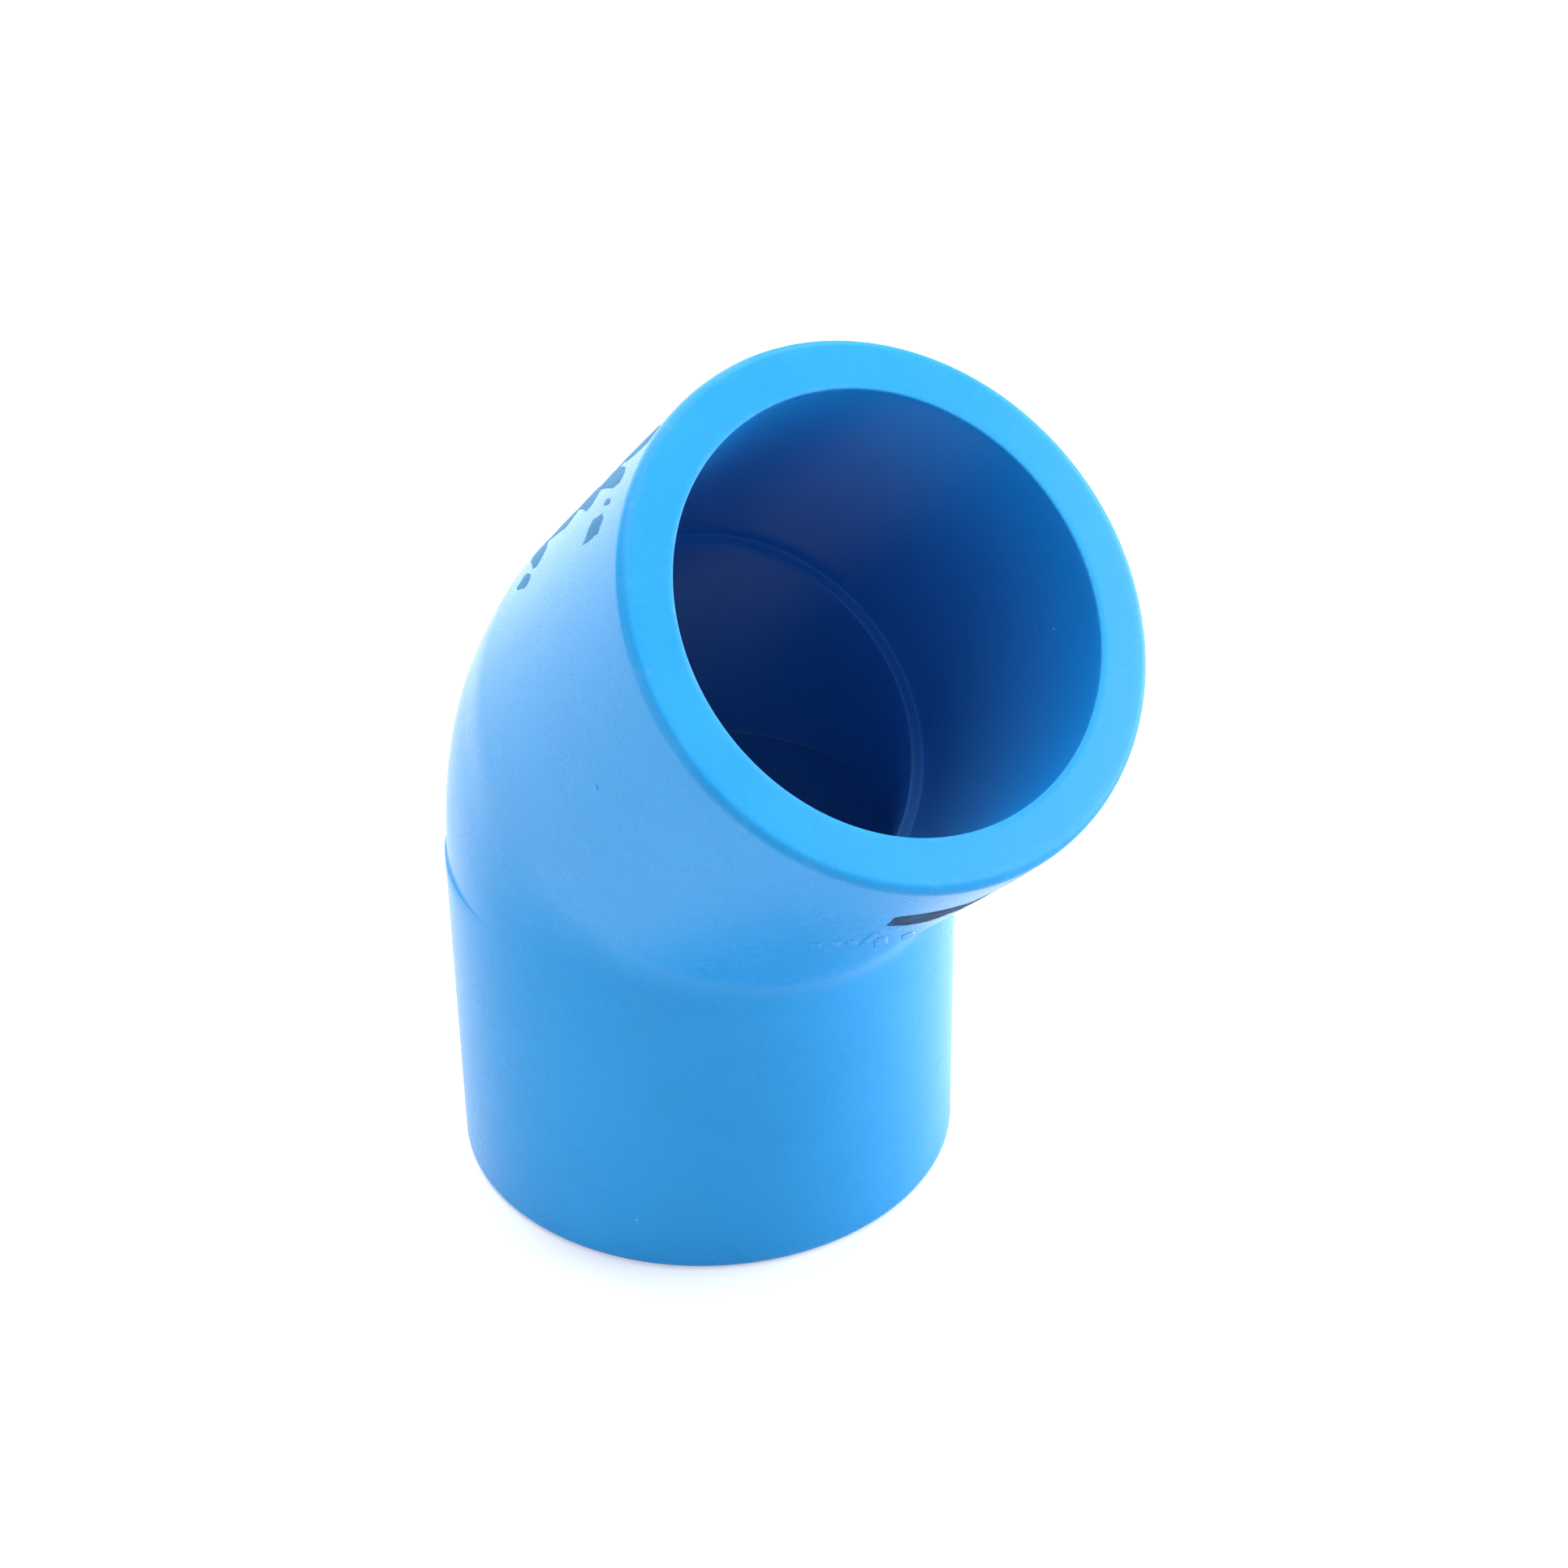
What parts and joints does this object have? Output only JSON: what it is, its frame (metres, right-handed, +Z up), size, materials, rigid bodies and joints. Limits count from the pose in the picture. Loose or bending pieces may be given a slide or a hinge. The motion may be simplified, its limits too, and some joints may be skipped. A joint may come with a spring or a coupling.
{
  "type": "conduit elbow",
  "caption": "Rigid PVC 45 degree elbow: one thick-walled blue moulding with a plain tapered socket and conduit stop at each end.",
  "frame": {"origin": "on the lower mouth's face, under the middle of the whole elbow's bounding box", "axes": "+Z up along the lower leg's axis, +X the way the upper leg leans, XZ the mirror plane"},
  "size_m": [0.0606, 0.0418, 0.0756],
  "materials": {
    "blue_pvc": "gloss",
    "dark_print": "matte"
  },
  "bodies": {
    "root": {"lower_socket": "blue_pvc", "bend": "blue_pvc", "upper_socket": "blue_pvc"}
  },
  "joints": []
}
